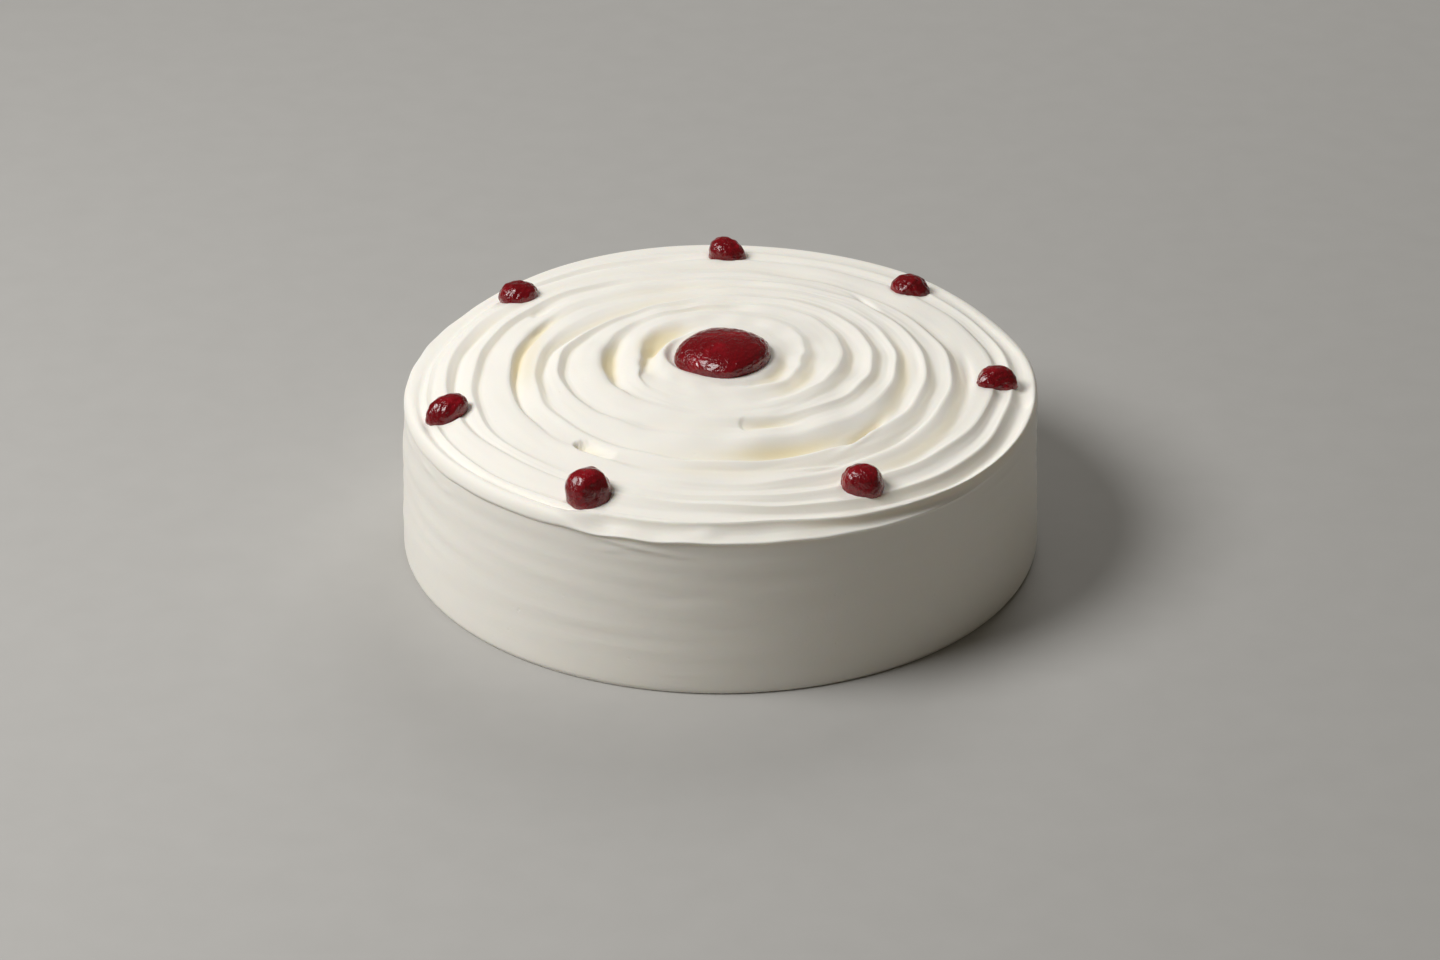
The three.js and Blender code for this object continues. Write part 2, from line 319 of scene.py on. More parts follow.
# Fineness of the cake's surface: points round it, rows in a stroke, down the shoulder and down the wall,
# places down the foot, rings under the middle drop, and how near the seat or the rim a row ends on it
COLUMNS = 512
ROWS_PER_TURN = 16
SHOULDER_ROWS = 8
WALL_ROWS = 36
WALL_SPACING = 1.4
FOOT_ROWS = (0.35, 0.7, 1.0)
SEAT_RINGS = (5.0, 10.0, 14.0, 16.0, 17.2, 18.0, 18.8, 19.6, SEAT_RADIUS)
SNAP = 0.35

# Fineness of the drops: points round, rows down, and fineness of the grain
CENTRE_MESH = (256, 110, 46)
DROP_MESH = (120, 72, 22)

# Patterns of the finishes, in repeats a metre: clouds of colour, changes of sheen and relief
CREAM_CLOUDS = 26
CREAM_SHEEN = 180
CREAM_BUBBLES = 900
CREAM_PORES = 260
PORE_PATCHES = 90
PORE_SIZE = (0.05, 0.22)
PORE_SHARE = (0.62, 0.72)
JELLY_CLOUDS = 130
JELLY_SHEEN = 420
JELLY_BUMPS = 620
JELLY_GRAIN = 1300

# How dark the cream's clouds are, the tints from which the yellow painted shade starts and is full, and the
# heights in metres between which the smears of the wall fade out
CREAM_DARKER = 0.975
TINT_RANGE = (0.3, 4.6)
WALL_RANGE = (0.054, 0.06)

# Lines along the strokes and smears round the wall, as noise stretched round the cake: its scale, how far it
# changes round the cake and how fast it changes across a line
LINES_SCALE = 3.2
LINES_AROUND = 0.35
LINES_ACROSS = 22
SMEARS_SCALE = 4
SMEARS_ACROSS = 70

# Studio, in metres: each light's angle, elevation, distance, size and share of the key light's power
LIGHTS = {"key": (196, 50, 1.6, 0.85, 1.0), "back": (75, 38, 1.9, 1.0, 0.46)}
LIGHT_AIM = (0, 0, 0.05)
SURROUND = (1.0, 0.9, 0.72, 1)
SURROUND_STRENGTH = 0.08
CAMERA_AIM = (-0.0002, 0, 0.0216)
FLOOR_HALF = 3.0
FLOOR_FRONT = -2.5
FLOOR_BACK = 3.0
FLOOR_BEND = 1.6
FLOOR_CURVE = 1.1
FLOOR_GRAIN = 60
FLOOR_COLOURS = ((0.43, 0.42, 0.4, 1), (0.46, 0.45, 0.43, 1))


def smooth(share):
    """0 below 0, 1 above 1, and the cubic 3s^2 - 2s^3 between."""
    clipped = np.clip(share, 0.0, 1.0)
    return clipped * clipped * (3 - 2 * clipped)


def bell(distance, width):
    """exp(-(distance / width)^2)."""
    return np.exp(-((distance / width) ** 2))


def turned(angle, other):
    """The difference of two angles, from -180 to 180 degrees."""
    return (angle - other + 180) % 360 - 180


def wave_noise(angle, across, seed, terms, longest, finest):
    """A seamless random relief between about -1 and 1: a sum of sines whose waves run round the cake a
    whole number of times, up to `longest`, and change with the second parameter at up to `finest` radians a
    unit."""
    draw = np.random.default_rng(seed)
    around = draw.integers(1, longest + 1, terms)
    rate = draw.uniform(-finest, finest, terms)
    phase = draw.uniform(0, 2 * np.pi, terms)
    total = np.zeros(np.broadcast(angle, across).shape)
    for n, m, p in zip(around, rate, phase):
        total = total + np.sin(n * np.radians(angle) + m * across + p)
    return total / math.sqrt(terms)


def along_spiral(table, eighths):
    """Value after so many eighths of a turn from the front: a Catmull-Rom curve through the flattened table,
    level before its start and after its end."""
    values = table.ravel()
    last = len(values) - 1
    i = np.clip(np.floor(eighths).astype(int), 0, last - 1)
    f = np.clip(eighths - i, 0, 1)
    before, a, b, after = (values[np.clip(i + k, 0, last)] for k in (-1, 0, 1, 2))
    bend = 2 * before - 5 * a + 4 * b - after + f * (3 * (a - b) + after - before)
    return a + 0.5 * f * (b - before + f * bend)


def ridge(eighths):
    """Radius of the spiral ridge: the table of turns, with a straight start and a slight random waver."""
    waver = sum(np.sin(pitch * eighths + turn) for pitch, turn in RIDGE_WAVES)
    return along_spiral(SPIRAL, eighths) + np.minimum(eighths, 0) * SPIRAL_START_RATE + RIDGE_WAVER * waver


def dents(angle, column):
    """Sum of the rim's dents at an angle, from the column that says how far it sinks or draws in."""
    return sum(dent[column] * bell(turned(angle, dent[0]), dent[1]) for dent in RIM_DENTS)


def between(angle, stretch):
    """1 along a stretch of the rim, with a smooth rise and fall, as (start, full, fade, end)."""
    start, full, fade, end = stretch
    along = turned(angle, fade)
    return smooth((along + fade - start) / (full - start)) * smooth((end - fade - along) / (end - fade))


def rim_radius(angle):
    """Radius of the rim ridge: a circle with two small waves, drawn in at the dents and over the step."""
    waves = np.cos(np.radians(3 * angle + 40)) + np.cos(np.radians(7 * angle))
    return RIM_RADIUS + RIM_WAVE * waves - dents(angle, DRAWS) - STEP_DRAW * between(angle, STEP)


def dome_height(r):
    """Height of the ridges' tops: a paraboloid, highest in the middle."""
    return DOME_TOP - DOME_FALL * (r / RIM_RADIUS) ** 2


def rim_height(angle):
    """Height of the rim ridge: the dome's, sunk at the dents."""
    return dome_height(rim_radius(angle)) - dents(angle, SINKS)


def ridge_height(r, angle):
    """Height of the ridges: the dome's, sunk next to the rim at its dents."""
    rim = rim_radius(angle)
    sag = sum(sink * bell(turned(angle, at), reach) * smooth((r - rim + inward) / inward)
              for at, reach, sink, _, inward in RIM_DENTS)
    return dome_height(r) - sag


def marks(r, angle, table):
    """Sum of bell shaped marks, each along an arc that drifts outwards, as (angle, radius, half length,
    half width, height, drift)."""
    total = np.zeros(np.broadcast(r, angle).shape)
    for at, radius, reach, width, height, drift in table:
        along = turned(angle, at)
        total = total + height * bell(along, reach) * bell(r - radius - drift * along, width)
    return total


def groove(r, angle):
    """How far the cream is sunk at the left of the middle drop: level under the drop, with a smooth wall."""
    across = r - GROOVE_RADIUS + GROOVE_DRIFT * turned(angle, 180)
    along = bell(turned(angle, GROOVE_MIDDLE), GROOVE_HALF)
    return GROOVE_DEPTH * along * (1 - smooth(across / GROOVE_WALL))


def gouges(r, angle):
    """Sum of the gouges: each falls steeply to its full depth at its start, later away from its line, rises
    as 1 - s^1.5 to its end and has steep sides, 1 / (1 + d^6) with d the distance from its line in half
    widths."""
    total = np.zeros(np.broadcast(r, angle).shape)
    for start, radius, length, width, depth, drift in GOUGES:
        share = turned(angle, start) / length
        along = share * abs(length)
        aside = (r - radius - drift * along) / width
        beyond = along * np.radians(1) * radius - GOUGE_ROUND * aside**2
        cut = smooth(beyond / GOUGE_START) * (1 - np.clip(share, 0, 1) ** 1.5)
        total = total + depth * cut / (1 + aside**6)
    return total


def pressed(r, angle):
    """1 under the jelly drops, where they press the cream smooth, and 0 a little way round them."""
    x = r * np.cos(np.radians(angle))
    y = r * np.sin(np.radians(angle))
    total = np.zeros(np.broadcast(r, angle).shape)
    for at_x, at_y, wide, deep, _, turn, *_ in DROPS.values():
        c, s = math.cos(math.radians(turn)), math.sin(math.radians(turn))
        across = ((x - at_x) * c + (y - at_y) * s) / (wide / 2)
        along = ((y - at_y) * c - (x - at_x) * s) / (deep / 2)
        total = np.maximum(total, smooth((PRESS_REACH - np.hypot(across, along)) / PRESS_SOFT))
    return total


def stroke_section(x, low, right):
    """How far a stroke has fallen at the share x of the way between its ridges: 0 on them and 1 in the
    crease at `low`, as 1 - t^p with t the distance from the crease, and rounded on the ridges. p grows from
    the left of the cake, where `right` is -1, to the right, where it is 1."""
    inner = 1 - np.abs((low - x) / low) ** (INNER_CURVE[0] + INNER_CURVE[1] * right)
    outer = 1 - np.abs((x - low) / (1 - low)) ** (OUTER_CURVE[0] + OUTER_CURVE[1] * right)
    fall = np.where(x < low, inner, outer)
    return (np.sqrt(fall**2 + CREST_ROUND**2) - CREST_ROUND) / (math.hypot(1, CREST_ROUND) - CREST_ROUND)


def stroke_lines(x, gap, angle, turn):
    """Fine lines along a stroke: sines of the share x, each with its own swing, that fade at the ridges."""
    total = np.zeros(x.shape)
    draw = np.random.default_rng(SEED + 1)
    for count in LINE_COUNTS:
        swing = LINE_SWING * wave_noise(angle, turn, SEED + 10 * count, terms=5, longest=6, finest=1.5)
        total = total + draw.uniform(0.5, 1.0) * np.sin(2 * np.pi * count * x + swing) / count**0.5
    return LINE_HEIGHT * total * np.sin(np.pi * x) * np.clip(gap / LINE_STROKE, 0, 1.2)


def top_relief(r, angle, a, b, eighths):
    """Height of the top between two ridges at radii a and b, and how much yellow the cream gets.

    A stroke of the knife falls from each ridge to its crease. Fine lines run along it, the ridges rise and
    fall a little, hollows and gouges are torn out, and the drops press the cream smooth. The yellow is
    painted
    shade: it grows with depth, most on the wall of a stroke that faces away from the key light, and with the
    depth of the hollows and gouges. The yellow patches are added to it."""
    gap = np.maximum(b - a, 1e-6)
    x = np.clip((r - a) / gap, 0, 1)
    low = along_spiral(CREASE, eighths + 8)
    right = np.cos(np.radians(angle))
    depth = along_spiral(DEPTH, eighths + 8) * stroke_section(x, low, right) * smooth(gap / FULL_STROKE)
    near = smooth((r - RIM_RADIUS + RIM_REACH) / RIM_REACH)
    way = np.radians(angle)
    uneven = RIDGE_UNEVEN * np.sin(2 * way + r * UNEVEN_PITCH[0]) * np.cos(way - r * UNEVEN_PITCH[1])
    sway = SWAY * wave_noise(angle, r * 0.25, SEED + 2, terms=12, longest=16, finest=1.0)
    torn = marks(r, angle, HOLLOWS)
    fray = GOUGE_FRAY * wave_noise(angle, r * 0.2, SEED + 5, terms=16, longest=34, finest=1.0)
    cut = gouges(r + fray, angle)
    lines = stroke_lines(x, gap, angle, eighths / 8)
    relief = marks(r, angle, FLAPS) - depth - torn - cut + (uneven + sway) * (1 - near) + lines
    press = pressed(r, angle)
    height = ridge_height(r, angle) + relief * (1 - press) - PRESS_DEPTH * press
    # Painted shade: more yellow on the wall of the stroke that faces away from the key light
    dark = PAINTED_SHADE * (1 + right * np.clip((low - x) / PAINTED_SHADE_WIDTH, -1, 1))
    return height, depth * dark + torn + GOUGE_SHADE * cut + marks(r, angle, YELLOW_PATCHES)


def shoulder(angle, edge_r, edge_z):
    """Stations from the rim ridge down to the edge, as lists of radius, height and yellow painted shade.

    The shoulder is nearly a quarter of an ellipse. The ledge starts as a steep step with a slope below it,
    and turns into a hollow, the same quarter turned inside out. A tongue of cream lies on the step. Yellow
    painted shade lies in the ledge, weak on the step and full in the hollow."""
    rim_r = rim_radius(angle)
    rim_z = rim_height(angle)
    ledge = between(angle, LEDGE)
    early = smooth(turned(LEDGE_TURN[1], angle) / (LEDGE_TURN[1] - LEDGE_TURN[0]))
    at, reach, place, width, height = TONGUE
    middle, spread = LEDGE_SHADE_PLACE
    radii, heights, tints = [], [], []
    for share in np.linspace(0, 1, SHOULDER_ROWS + 1)[1:]:
        fast = np.sin(share * np.pi / 2)
        slow = 1 - np.cos(share * np.pi / 2)
        step = STEP_SHARE * smooth(share / STEP_ROOM) + (1 - STEP_SHARE) * share
        out = early * max(0.0, (share - STEP_START) / (1 - STEP_START)) + (1 - early) * slow**LEDGE_CURVE
        down = early * step + (1 - early) * fast
        tongue = height * bell(turned(angle, at), reach) * bell(share - place, width)
        radii.append(rim_r + (edge_r - rim_r) * (fast**SHOULDER_CURVE * (1 - ledge) + out * ledge))
        heights.append(rim_z + (edge_z - rim_z) * (slow * (1 - ledge) + down * ledge) + tongue)
        pale = 1 - (1 - STEP_SHADE) * early
        # Painted shade: yellow laid down the ledge, weaker on the step than in the hollow
        tints.append(LEDGE_SHADE * ledge * pale * bell(share - middle, spread))
    return radii, heights, tints


def wall_relief(angle, z, share):
    """How far the wall stands out at a height, a share of the way down: smears that climb a little, and a
    random drag that fades out at the edge and the foot."""
    smears = sum(stands * bell(turned(angle, at), reach) * bell(z - level - climb * turned(angle, at), width)
                 for at, level, reach, width, stands, climb in SMEARS)
    drag = WALL_DRAG * wave_noise(angle, z, SEED + 4, terms=30, longest=7, finest=0.9)
    drag = drag * smooth(share / DRAG_FADE[0]) * smooth((1 - share) / DRAG_FADE[1])
    return drag + smears * smooth((1 - share) / SMEAR_FADE)


def outside_profile(angle):
    """Stations of the outside by angle, from under the rim ridge to the foot, as arrays of radius, height
    and yellow painted shade: the shoulder, the crisp edge with its thin lips, the upright wall, and the
    foot."""
    wall = WALL_RADIUS * (1 + WALL_OVAL * np.cos(np.radians(2 * angle - OVAL_TURN)))
    lip = LIP_STANDS * sum(bell(turned(angle, at), reach) for at, reach in LIPS)
    drawn = EDGE_DRAW * np.maximum(dents(angle, DRAWS), 0)
    edge_r = wall - EDGE_INSET + lip - drawn + LEDGE_STANDS * between(angle, LEDGE)
    ripple = EDGE_RIPPLE * np.cos(np.radians(4 * angle))
    fray = EDGE_FRAY * wave_noise(angle, 0.0, SEED + 3, terms=14, longest=46, finest=0.0)
    edge_z = EDGE_HEIGHT + EDGE_WAVE * np.sin(np.radians(3 * angle + 20)) + ripple + fray
    radii, heights, tints = shoulder(angle, edge_r, edge_z)
    radii.append(edge_r - UNDER_EDGE - UNDER_LIP * lip)
    heights.append(edge_z - UNDER_DEPTH)
    wall_z = edge_z - EDGE_THICK
    for share in np.linspace(0, 1, WALL_ROWS) ** WALL_SPACING:
        z = wall_z + (FOOT_HEIGHT - wall_z) * share
        flare = (FOOT_FLARE + WALL_INSET) * smooth(share) * (1 - FLARE_SHARE + FLARE_SHARE * share)
        r = wall - WALL_INSET + flare - drawn * (1 - smooth(share / DRAW_FADE))
        radii.append(r + wall_relief(angle, z, share))
        heights.append(z)
    for share in FOOT_ROWS:
        radii.append(wall + FOOT_FLARE * (1 - FOOT_ROUND * share**2))
        heights.append(np.full(angle.shape, FOOT_HEIGHT * (1 - share)))
    tints += [np.zeros(angle.shape)] * (len(radii) - len(tints))
    return np.array(radii), np.array(heights), np.array(tints)


def ring_faces(inner, outer):
    """Triangles of the strip between two closed rings of vertex numbers, facing outwards."""
    a, b = inner, outer
    c, d = np.roll(outer, -1), np.roll(inner, -1)
    return np.concatenate([np.stack([a, b, c], 1), np.stack([a, c, d], 1)])


def top_rows(angle):
    """Radius, height and yellow tint of the rows of the top, by angle. The tint is mostly yellow painted
    shade, with the yellow patches added, and fades towards the rim.

    The two parameters are the place across a stroke and the angle. Half of the rows of a stroke lie before
    its crease and half behind it, and row j + ROWS_PER_TURN is row j a turn further out."""
    j = np.arange((len(SPIRAL) + 2) * ROWS_PER_TURN + 1)[:, None]
    share = (j % ROWS_PER_TURN) / ROWS_PER_TURN
    eighths = 8 * (j // ROWS_PER_TURN - 2 + np.arange(COLUMNS)[None, :] / COLUMNS)
    low = ridge(eighths)
    high = ridge(eighths + 8)
    crease = along_spiral(CREASE, eighths + 8)
    place = np.where(share < 0.5, crease * 2 * share, crease + (1 - crease) * (2 * share - 1))
    r = low + (high - low) * place
    rim = rim_radius(angle)
    height, tint = top_relief(r, angle, np.maximum(SEAT_RADIUS, low), np.minimum(rim, high), eighths)
    calm = smooth((r - SEAT_RADIUS) / SEAT_RISE) * smooth((rim - r) / RIM_CALM)
    ridges = ridge_height(r, angle)
    height = ridges + (height - ridges) * calm - groove(r, angle)
    pale = 1 - PALE_SHARE * smooth((r - PALE_FROM) / PALE_REACH)
    return r, height, tint * calm * pale


def seat_rows(angle):
    """Radius and height of the rings under the middle drop: a sunk floor that rises to the seat's edge."""
    r = np.array(SEAT_RINGS)[:, None]
    floor = dome_height(r) - SEAT_DEPTH * (1 - smooth((r - SEAT_FLOOR_RADIUS) / SEAT_RISE))
    return np.broadcast_to(r, (len(r), COLUMNS)), floor - groove(r, angle)


def cake_surface():
    """The whole cake as one closed surface of vertices and triangles, with each vertex's yellow tint of
    painted shade and patches, and the middle of its outline.

    The rows of the top run along the spiral, so a full turn joins a row to the one that lies a turn further
    out, and rows that reach the seat of the middle drop or the rim end on it. The outside is a profile
    carried round the cake. The wall stands a little to the right of the top and leans."""
    angle = 270 + 360 * np.arange(COLUMNS) / COLUMNS
    rim = rim_radius(angle)
    seat_r, seat_z = seat_rows(angle)
    top_r, top_z, top_tint = top_rows(angle)
    side_r, side_z, side_tint = outside_profile(angle)

    parts = [seat_r, top_r, rim[None, :], side_r]
    starts = 1 + np.cumsum([0] + [part.size for part in parts])
    seat_id, top_id, rim_id, side_id = (start + np.arange(part.size).reshape(part.shape)
                                        for start, part in zip(starts, parts))
    rim_id = rim_id[0]
    bottom = starts[-1]
    top_id = np.where(top_r <= SEAT_RADIUS + SNAP, seat_id[-1], top_id)
    top_id = np.where(top_r >= rim - SNAP, rim_id, top_id)

    radius = np.concatenate([[0], *(part.ravel() for part in parts), [0]])
    turns = np.concatenate([[0], *(np.broadcast_to(angle, part.shape).ravel() for part in parts), [0]])
    level = np.concatenate([[dome_height(0) - SEAT_DEPTH], seat_z.ravel(), top_z.ravel(), rim_height(angle),
                            side_z.ravel(), [0]])
    tint = np.zeros(len(radius))
    tint[starts[1]:starts[2]] = top_tint.ravel()
    tint[starts[3]:starts[4]] = side_tint.ravel()
    pitch = LEAN * (0.5 - np.minimum(1, level / EDGE_HEIGHT))
    sideways = (WALL_SHIFT + pitch) * smooth((radius - RIM_RADIUS + RIM_REACH) / RIM_REACH)
    x = radius * np.cos(np.radians(turns)) + sideways
    y = radius * np.sin(np.radians(turns))
    points = np.stack([x, y, level], 1)

    seam = np.concatenate([top_id[ROWS_PER_TURN:, 0], np.full(ROWS_PER_TURN, rim_id[0])])
    wide = np.concatenate([top_id, seam[:, None]], 1)
    p, q, s, t = wide[:-1, :-1], wide[1:, :-1], wide[1:, 1:], wide[:-1, 1:]
    faces = [np.stack([p, q, s], -1).reshape(-1, 3), np.stack([p, s, t], -1).reshape(-1, 3)]
    faces.append(np.stack([np.zeros(COLUMNS, int), seat_id[0], np.roll(seat_id[0], -1)], 1))
    rings = [rim_id, *side_id]
    for inner, outer in [*zip(seat_id[:-1], seat_id[1:]), *zip(rings[:-1], rings[1:])]:
        faces.append(ring_faces(inner, outer))
    foot = side_id[-1]
    faces.append(np.stack([np.full(COLUMNS, bottom), np.roll(foot, -1), foot], 1))
    faces = np.concatenate(faces)
    real = (faces[:, 0] != faces[:, 1]) & (faces[:, 1] != faces[:, 2]) & (faces[:, 0] != faces[:, 2])
    used, faces = np.unique(faces[real], return_inverse=True)
    points = points[used]
    middle = (points.min(0) + points.max(0)) / 2
    points[:, :2] -= middle[:2]
    return points, faces.reshape(-1, 3), tint[used], middle


def ball_ripples(direction, seed, terms, fineness):
    """A random relief on a ball between about -1 and 1, alike in every direction: a sum of sines of the
    direction along random lines, with up to `fineness` radians from the middle of the ball to its skin."""
    draw = np.random.default_rng(seed)
    total = np.zeros(direction.shape[:-1])
    for _ in range(terms):
        line = draw.normal(size=3)
        line *= fineness * draw.uniform(0.6, 1.0) / np.linalg.norm(line)
        total = total + np.sin(direction @ line + draw.uniform(0, 2 * np.pi))
    return total / math.sqrt(terms)


def drop_surface(size, sink, fine, grain, seed):
    """A jelly drop as a closed surface: a ball drawn out to an uneven dome above the cream and a root below.

    The parameters are the angle round the drop and the angle down from its top. Its outline is a power of
    the sine of the second, its top leans, low lumps change its reach, and a fine grain of bumps lies over
    it."""
    x, y, wide, deep, high, turn, square, lean_x, lean_y = size
    columns, rows, fineness = fine
    around = np.linspace(0, 2 * np.pi, columns, endpoint=False)[None, :]
    down = np.linspace(0, np.pi, rows + 1)[1:-1, None]
    up = np.broadcast_to(np.cos(down), (rows - 1, columns))
    side = np.sin(down)
    direction = np.stack([side * np.cos(around), side * np.sin(around), up], -1)
    lumps = 1 + DROP_LUMPS * ball_ripples(direction, seed, terms=9, fineness=5)
    corners = 1 + SQUARE_CORNERS * square * np.sin(2 * around) ** 2
    reach = lumps * corners * side ** (DROP_POWER - SQUARE_POWER * square)
    bumps = grain * ball_ripples(direction, seed + 100, terms=80, fineness=fineness)
    across = np.cos(around) * (wide / 2 * reach + bumps * side)
    along = np.sin(around) * (deep / 2 * reach + bumps * side)
    c, s = math.cos(math.radians(turn)), math.sin(math.radians(turn))
    base = dome_height(math.hypot(x, y)) - sink
    dome = np.clip(up, 0, 1) ** (1 - SQUARE_TOP * square)
    rise = np.where(up > 0, high * dome * (0.5 + 0.5 * lumps) + bumps * up, DROP_ROOT * up)
    ring = np.stack([x + across * c - along * s + lean_x * dome, y + across * s + along * c + lean_y * dome,
                     base + rise], -1)
    top = [x + lean_x, y + lean_y, base + rise[0].mean()]
    points = np.concatenate([[top], ring.reshape(-1, 3), [[x, y, base - DROP_ROOT]]])
    ids = 1 + np.arange((rows - 1) * columns).reshape(rows - 1, columns)
    faces = [np.stack([np.zeros(columns, int), ids[0], np.roll(ids[0], -1)], 1)]
    for upper, lower in zip(ids[:-1], ids[1:]):
        faces.append(ring_faces(upper, lower))
    faces.append(np.stack([np.full(columns, len(points) - 1), np.roll(ids[-1], -1), ids[-1]], 1))
    return points, np.concatenate(faces)


def make_piece(name, points, faces, material, nodes):
    """Puts a surface in millimetres into a smooth shaded mesh object that stands for the given CAD nodes."""
    mesh = bpy.data.meshes.new(name)
    mesh.vertices.add(len(points))
    mesh.vertices.foreach_set("co", (points * MM).astype(np.float32).ravel())
    mesh.loops.add(faces.size)
    mesh.loops.foreach_set("vertex_index", faces.astype(np.int32).ravel())
    mesh.polygons.add(len(faces))
    mesh.polygons.foreach_set("loop_start", np.arange(0, faces.size, 3, dtype=np.int32))
    mesh.update(calc_edges=True)
    mesh.validate()
    mesh.shade_smooth()
    mesh.materials.append(material)
    piece = bpy.data.objects.new(name, mesh)
    bpy.context.scene.collection.objects.link(piece)
    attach(piece, "root")
    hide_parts(*nodes)
    return piece


class Value:
    """A shader socket that works like a number: each operator adds a Math node to its tree."""

    def __init__(self, tree, socket):
        self.tree = tree
        self.socket = socket

    def math(self, operation, *others):
        return self.tree.add("ShaderNodeMath", {"operation": operation}, dict(enumerate([self, *others])))

    def reverse(self, operation, other):
        return self.tree.add("ShaderNodeMath", {"operation": operation}, {0: other, 1: self})

    def __add__(self, other):
        return self.math("ADD", other)

    def __sub__(self, other):
        return self.math("SUBTRACT", other)

    def __rsub__(self, other):
        return self.reverse("SUBTRACT", other)

    def __mul__(self, other):
        return self.math("MULTIPLY", other)

    def __truediv__(self, other):
        return self.math("DIVIDE", other)

    def __rtruediv__(self, other):
        return self.reverse("DIVIDE", other)

    __radd__ = __add__
    __rmul__ = __mul__


class Finish:
    """A material and its node tree, with one method that adds any node."""

    def __init__(self, name):
        self.material = bpy.data.materials.new(name)
        self.material.use_nodes = True
        self.nodes = self.material.node_tree.nodes
        self.links = self.material.node_tree.links
        self.surface = next(n for n in self.nodes if n.type == "BSDF_PRINCIPLED")

    def add(self, kind, settings, inputs, output=0):
        """Adds a node, sets its settings, then fills its sockets with values or links them."""
        node = self.nodes.new(kind)
        for key, value in settings.items():
            setattr(node, key, value)
        for key, value in inputs.items():
            self.fill(node.inputs[key], value)
        return Value(self, node.outputs[output])

    def fill(self, socket, value):
        """Links a Value to a socket, or sets the socket's own value."""
        if isinstance(value, Value):
            self.links.new(value.socket, socket)
        else:
            socket.default_value = value

    def feed(self, **inputs):
        """Fills sockets of the Principled shader, with _ in place of the blanks of their names."""
        for key, value in inputs.items():
            self.fill(self.surface.inputs[key.replace("_", " ")], value)

    def point(self, x, y, z):
        """A vector of three values."""
        return self.add("ShaderNodeCombineXYZ", {}, {"X": x, "Y": y, "Z": z})

    def noise(self, place, scale, detail):
        """A noise from 0 to 1 at a place."""
        return self.add("ShaderNodeTexNoise", {"noise_dimensions": "3D"},
                        {"Vector": place, "Scale": scale, "Detail": detail, "Roughness": 0.5})

    def bump(self, height, strength, distance):
        """A normal from a height, for a relief of so many metres."""
        return self.add("ShaderNodeBump", {}, {"Height": height, "Strength": strength, "Distance": distance})

    def ease(self, value, low, high):
        """0 below low, 1 above high and smooth between."""
        return self.add("ShaderNodeMapRange", {"interpolation_type": "SMOOTHSTEP"},
                        {"Value": value, "From Min": low, "From Max": high})

    def blend(self, factor, first, second):
        """A colour between two, by a factor."""
        return self.add("ShaderNodeMix", {"data_type": "RGBA"}, {"Factor": factor, 6: first, 7: second}, 2)


def cream_finish(colour, shade):
    """Whipped cream: warm white, with yellow painted shade and yellow patches where the tint says so, with
    fine lines along the strokes, tiny bubbles and a few pores, and smears round the wall."""
    finish = Finish("cream")
    place = finish.add("ShaderNodeTexCoord", {}, {}, "Object")
    x, y, z = (finish.add("ShaderNodeSeparateXYZ", {}, {"Vector": place}, k) for k in range(3))
    radius = (x * x + y * y).math("SQRT") + 1e-5
    tint = finish.add("ShaderNodeAttribute", {"attribute_name": "deep"}, {}, "Fac")
    cloud = finish.noise(place, CREAM_CLOUDS, detail=3)
    pale = finish.blend(cloud, (*colour, 1), tuple(c * CREAM_DARKER for c in colour) + (1,))
    # Painted shade: the tint mixes in the darker yellow colour in the strokes, hollows, gouges and ledge,
    # and at the yellow patches
    yellow = finish.ease(tint + cloud * 1.2 - 0.6, *TINT_RANGE)
    finish.feed(Base_Color=finish.blend(yellow, pale, (*shade, 1)))
    finish.feed(Roughness=0.46 + 0.16 * finish.noise(place, CREAM_SHEEN, detail=2))
    along = finish.point(x / radius * LINES_AROUND, y / radius * LINES_AROUND, (radius - z) * LINES_ACROSS)
    lines = finish.noise(along, LINES_SCALE, detail=4)
    around = finish.point(x / radius, y / radius, z * SMEARS_ACROSS)
    smears = finish.noise(around, SMEARS_SCALE, detail=3)
    wall = 1 - finish.ease(z, *WALL_RANGE)
    bubbles = finish.noise(place, CREAM_BUBBLES, detail=2)
    cells = finish.add("ShaderNodeTexVoronoi", {"feature": "F1"}, {"Vector": place, "Scale": CREAM_PORES})
    pores = 1 - finish.ease(cells, *PORE_SIZE)
    rare = finish.ease(finish.noise(place, PORE_PATCHES, detail=1), *PORE_SHARE)
    relief = lines * 0.6 + bubbles * 0.16 - pores * rare * 0.5 + wall * smears * 0.5
    finish.feed(Normal=finish.bump(relief, strength=0.35, distance=0.0005))
    finish.feed(Subsurface_Weight=0.25, Subsurface_Radius=(1.0, 0.75, 0.5), Subsurface_Scale=0.002)
    finish.feed(Specular_IOR_Level=0.4, IOR=1.4)
    return finish.material


def jelly_finish(name, colour, bright):
    """Set jelly: very dark red with brighter, thinner places, wet and glossy over fine bumps."""
    finish = Finish(name)
    place = finish.add("ShaderNodeTexCoord", {}, {}, "Object")
    thin = finish.ease(finish.noise(place, JELLY_CLOUDS, detail=3), 0.45, 0.75)
    finish.feed(Base_Color=finish.blend(thin, (*colour, 1), (*bright, 1)))
    finish.feed(Roughness=0.12 + 0.14 * finish.noise(place, JELLY_SHEEN, detail=2))
    relief = finish.noise(place, JELLY_BUMPS, detail=2) + 0.8 * finish.noise(place, JELLY_GRAIN, detail=1)
    finish.feed(Normal=finish.bump(relief, strength=0.6, distance=0.0007))
    finish.feed(Subsurface_Weight=0.3, Subsurface_Radius=(1.0, 0.12, 0.1), Subsurface_Scale=0.002)
    finish.feed(Specular_IOR_Level=0.5, IOR=1.42, Coat_Weight=0.5, Coat_Roughness=0.06)
    return finish.material


